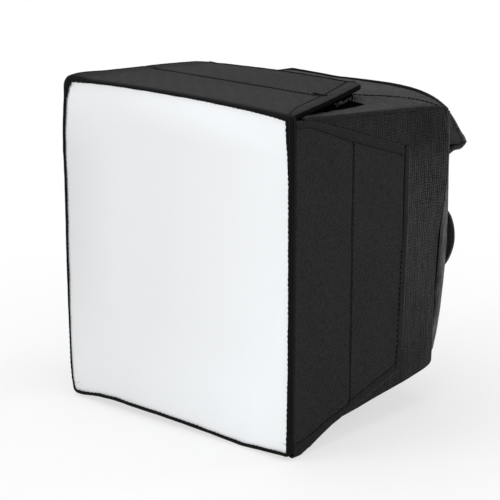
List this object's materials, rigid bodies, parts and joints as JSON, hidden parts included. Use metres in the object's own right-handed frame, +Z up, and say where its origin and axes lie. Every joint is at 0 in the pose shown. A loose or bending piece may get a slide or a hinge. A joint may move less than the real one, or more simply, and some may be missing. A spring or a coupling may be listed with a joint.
{
  "type": "folding softbox",
  "caption": "Small folding cloth softbox for a camera flash: white diffuser, stiff folding walls, hook-and-loop flaps and an elastic cuff for the flash head.",
  "frame": {"origin": "middle of the bounding box's base, on the surface that the softbox stands on", "axes": "+Y from the white face to the cuff, +Z up, +X to the viewer's right when the white face is looked at"},
  "size_m": [0.165, 0.1502, 0.17],
  "materials": {
    "panel_cloth": "black woven nylon, matt",
    "loop_cloth": "black loop-pile knit, fuzzy",
    "diffuser_nylon": "white translucent nylon, smooth",
    "binding_tape": "black binding tape",
    "stiff_board": "plain plastic board",
    "silver_lining": "silver coated cloth, satin",
    "hook_strip": "black nylon hook tape",
    "elastic_webbing": "black ribbed elastic"
  },
  "bodies": {
    "back": {"back_cover": "panel_cloth", "back_board": "stiff_board", "back_lining": "silver_lining", "opening_binding": "binding_tape", "flash_cuff": "elastic_webbing", "cuff_elastic": "elastic_webbing", "cuff_loop_right": "loop_cloth", "cuff_loop_left": "loop_cloth", "right_side_cloth": "loop_cloth", "left_side_cloth": "loop_cloth", "top_corner_cloth_right": "loop_cloth", "top_corner_cloth_left": "loop_cloth", "rear_top_cloth": "loop_cloth", "lower_corner_cloth_right": "loop_cloth", "lower_corner_cloth_left": "loop_cloth", "rear_bottom_cloth": "loop_cloth"},
    "rear_seam": {"right_seam_tape": "panel_cloth", "left_seam_tape": "panel_cloth"},
    "right_rear": {"right_rear_cover": "panel_cloth", "right_rear_board": "stiff_board", "right_rear_lining": "silver_lining"},
    "right_front": {"right_front_cover": "panel_cloth", "right_front_board": "stiff_board", "right_front_lining": "silver_lining"},
    "left_rear": {"left_rear_cover": "panel_cloth", "left_rear_board": "stiff_board", "left_rear_lining": "silver_lining"},
    "left_front": {"left_front_cover": "panel_cloth", "left_front_board": "stiff_board", "left_front_lining": "silver_lining"},
    "front": {"front_binding": "binding_tape", "diffuser_cloth": "diffuser_nylon"},
    "top_front": {"top_front_cover": "panel_cloth", "top_front_board": "stiff_board", "top_front_lining": "silver_lining"},
    "top_rear": {"top_rear_cover": "panel_cloth", "top_rear_board": "stiff_board", "top_rear_lining": "silver_lining", "top_hook_right": "hook_strip", "top_hook_left": "hook_strip"},
    "bottom_front": {"bottom_front_cover": "panel_cloth", "bottom_front_board": "stiff_board", "bottom_front_lining": "silver_lining"},
    "bottom_rear": {"bottom_rear_cover": "panel_cloth", "bottom_rear_board": "stiff_board", "bottom_rear_lining": "silver_lining", "bottom_hook_right": "hook_strip", "bottom_hook_left": "hook_strip"},
    "hood": {"hood_panel": "loop_cloth", "hood_wing_right": "loop_cloth", "hood_wing_left": "loop_cloth"},
    "strap_right": {"strap_right": "elastic_webbing", "strap_hook_right": "hook_strip"},
    "strap_left": {"strap_left": "elastic_webbing", "strap_hook_left": "hook_strip"}
  },
  "joints": [
    {"name": "wall_fold", "type": "hinge", "parent": "rear_seam", "child": "right_rear", "pos_m": [0.075, 0.01443, 0.085], "axis": [0, 0, -1], "range_deg": [0, 82], "deforming": ["right_side_cloth", "left_side_cloth", "top_corner_cloth_right", "top_corner_cloth_left", "rear_top_cloth", "lower_corner_cloth_right", "lower_corner_cloth_left", "rear_bottom_cloth"]},
    {"name": "rear_slide", "type": "slide", "parent": "back", "child": "rear_seam", "axis": [0, 1, 0], "range_m": [0, 0.0292]},
    {"name": "right_middle_fold", "type": "hinge", "parent": "right_rear", "child": "right_front", "pos_m": [0.075, -0.02807, 0.085], "axis": [0, 0, 1], "range_deg": [0, 164]},
    {"name": "front_level", "type": "hinge", "parent": "right_front", "child": "front", "pos_m": [0.075, -0.07057, 0.085], "axis": [0, 0, -1], "range_deg": [0, 82]},
    {"name": "left_rear_fold", "type": "hinge", "parent": "rear_seam", "child": "left_rear", "pos_m": [-0.075, 0.01443, 0.085], "axis": [0, 0, 1], "range_deg": [0, 82]},
    {"name": "left_middle_fold", "type": "hinge", "parent": "left_rear", "child": "left_front", "pos_m": [-0.075, -0.02807, 0.085], "axis": [0, 0, -1], "range_deg": [0, 164]},
    {"name": "top_flap_open", "type": "hinge", "parent": "front", "child": "top_front", "pos_m": [0, -0.07057, 0.17], "axis": [1, 0, 0], "range_deg": [0, 110]},
    {"name": "top_flap_bend", "type": "hinge", "parent": "top_front", "child": "top_rear", "pos_m": [0, -0.02807, 0.17], "axis": [1, 0, 0], "range_deg": [0, 120]},
    {"name": "bottom_flap_open", "type": "hinge", "parent": "front", "child": "bottom_front", "pos_m": [0, -0.07057, 0], "axis": [-1, 0, 0], "range_deg": [0, 110]},
    {"name": "bottom_flap_bend", "type": "hinge", "parent": "bottom_front", "child": "bottom_rear", "pos_m": [0, -0.02807, 0], "axis": [-1, 0, 0], "range_deg": [0, 120]},
    {"name": "hood_lift", "type": "hinge", "parent": "back", "child": "hood", "pos_m": [0, 0.05315, 0.1595], "axis": [1, 0, 0], "range_deg": [0, 45]},
    {"name": "strap_right_swing", "type": "hinge", "parent": "back", "child": "strap_right", "pos_m": [0.0475, 0.05385, 0.087], "axis": [0, 0, 1], "range_deg": [0, 90]},
    {"name": "strap_left_swing", "type": "hinge", "parent": "back", "child": "strap_left", "pos_m": [-0.0475, 0.05385, 0.087], "axis": [0, 0, -1], "range_deg": [0, 90]}
  ],
  "couplings": [
    {"joint": "rear_slide", "follows": "wall_fold", "m_per_rad": 0.020263},
    {"joint": "right_middle_fold", "follows": "wall_fold", "ratio": 2},
    {"joint": "front_level", "follows": "wall_fold", "ratio": 1},
    {"joint": "left_rear_fold", "follows": "wall_fold", "ratio": 1},
    {"joint": "left_middle_fold", "follows": "wall_fold", "ratio": 2}
  ]
}
